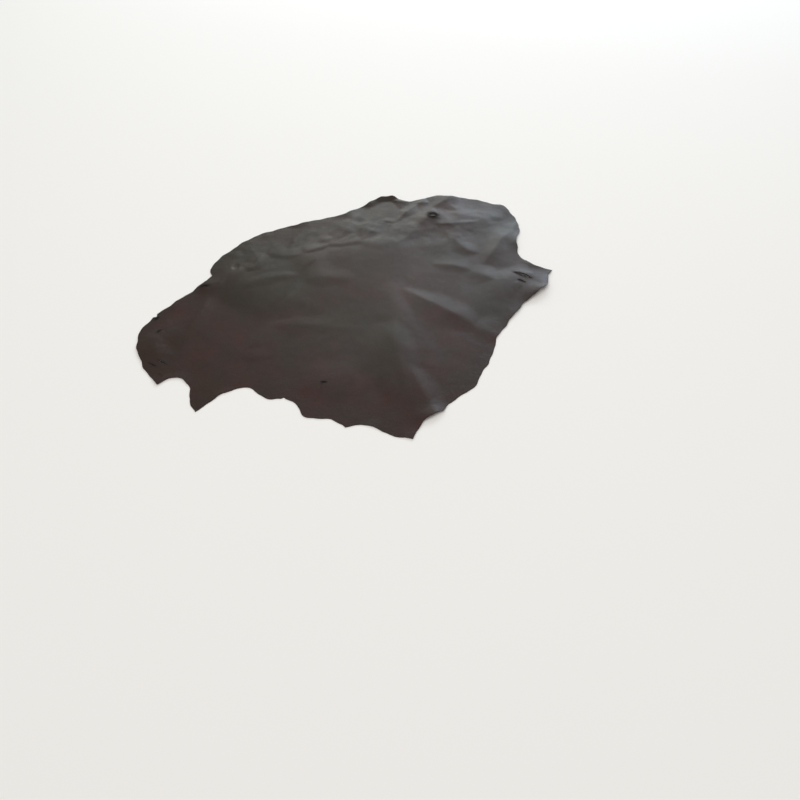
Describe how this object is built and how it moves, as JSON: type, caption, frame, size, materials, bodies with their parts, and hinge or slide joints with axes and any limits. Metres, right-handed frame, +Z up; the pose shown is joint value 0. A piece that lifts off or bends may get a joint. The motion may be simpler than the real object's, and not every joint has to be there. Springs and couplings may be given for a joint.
{
  "type": "leather hide",
  "caption": "Whole dyed leather skin laid flat, grain side up, with an irregular knife-cut outline, soft folds, flay cuts and a rumpled, lifted far margin.",
  "frame": {"origin": "on the surface the hide lies on, below the middle of its plan outline", "axes": "+X along the longer way of the hide, from the rounded left lobe to the pointed right lobe; +Y away to the rumpled margin; +Z up, out of the grain side"},
  "size_m": [1.0721, 0.9543, 0.0146],
  "materials": {
    "hide": "semi-matt dyed grain leather"
  },
  "bodies": {
    "root": {"hide": "hide"}
  },
  "joints": []
}
